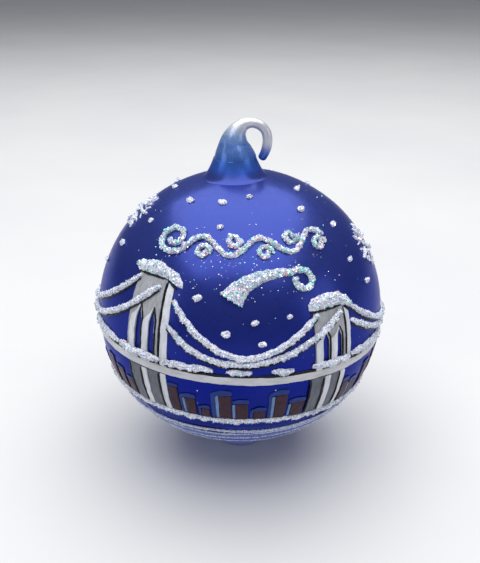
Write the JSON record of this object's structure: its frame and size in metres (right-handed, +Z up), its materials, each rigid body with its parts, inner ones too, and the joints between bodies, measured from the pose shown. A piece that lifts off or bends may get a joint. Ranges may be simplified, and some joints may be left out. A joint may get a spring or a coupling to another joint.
{
  "type": "glass christmas ornament",
  "caption": "Blown glass ball ornament with a drawn glass hanging hook and a small foot, painted all round with a snowy suspension bridge in raised glitter paste.",
  "frame": {"origin": "centre of the foot's flat underside, on the surface the ornament stands on", "axes": "+Z up through the neck and hook; -Y towards the painted front; +X to the right of the front, the way the hook curls"},
  "size_m": [0.1022, 0.1022, 0.1221],
  "materials": {
    "cobalt_glass": "blown cobalt glass",
    "clear_glass": "drawn clear glass, frosted at the top",
    "wash_glass": "glass under a pale blue wash",
    "cobalt_lacquer": "satin cobalt lacquer",
    "wash_paint": "brushed pale blue wash",
    "white_enamel": "brushed satin enamel",
    "grey_enamel": "brushed satin enamel",
    "black_liner": "gloss liner paint",
    "maroon_enamel": "brushed satin enamel",
    "blue_enamel": "brushed satin enamel",
    "pale_blue_enamel": "brushed satin enamel",
    "snow_paste": "granular white relief paste with glitter",
    "river_glitter": "thin white relief paste with glitter",
    "glitter_paste": "silver relief paste with coarse pearl glitter"
  },
  "bodies": {
    "root": {"glass_globe": "cobalt_glass", "glass_foot": "wash_glass", "glass_neck": "cobalt_glass", "glass_hook": "clear_glass", "lacquer_coat": "cobalt_lacquer", "river_wash": "wash_paint", "deck_band_enamel": "white_enamel", "deck_liner": "black_liner", "deck_snow": "snow_paste", "left_tower_stone": "grey_enamel", "left_tower_trim": "white_enamel", "left_tower_liner": "black_liner", "left_tower_snow_cap": "snow_paste", "left_pier_stone": "grey_enamel", "left_pier_trim": "white_enamel", "left_pier_liner": "black_liner", "right_tower_stone": "grey_enamel", "right_tower_trim": "white_enamel", "right_tower_liner": "black_liner", "right_tower_snow_cap": "snow_paste", "right_pier_stone": "grey_enamel", "right_pier_trim": "white_enamel", "right_pier_liner": "black_liner", "far_cable_snow": "snow_paste", "near_cable_snow": "snow_paste", "main_cable_liner": "black_liner", "left_side_cable_snow": "snow_paste", "right_side_cable_snow": "snow_paste", "side_cable_liner": "black_liner", "skyline_walls": "maroon_enamel", "skyline_roofs": "blue_enamel", "skyline_side_strips": "pale_blue_enamel", "shore_snow": "snow_paste", "river_lines": "river_glitter", "falling_snow": "snow_paste", "left_snowflake": "snow_paste", "right_snowflake": "snow_paste", "back_snowflakes": "snow_paste", "scroll_flourish": "glitter_paste", "swash_flourish": "glitter_paste"}
  },
  "joints": []
}
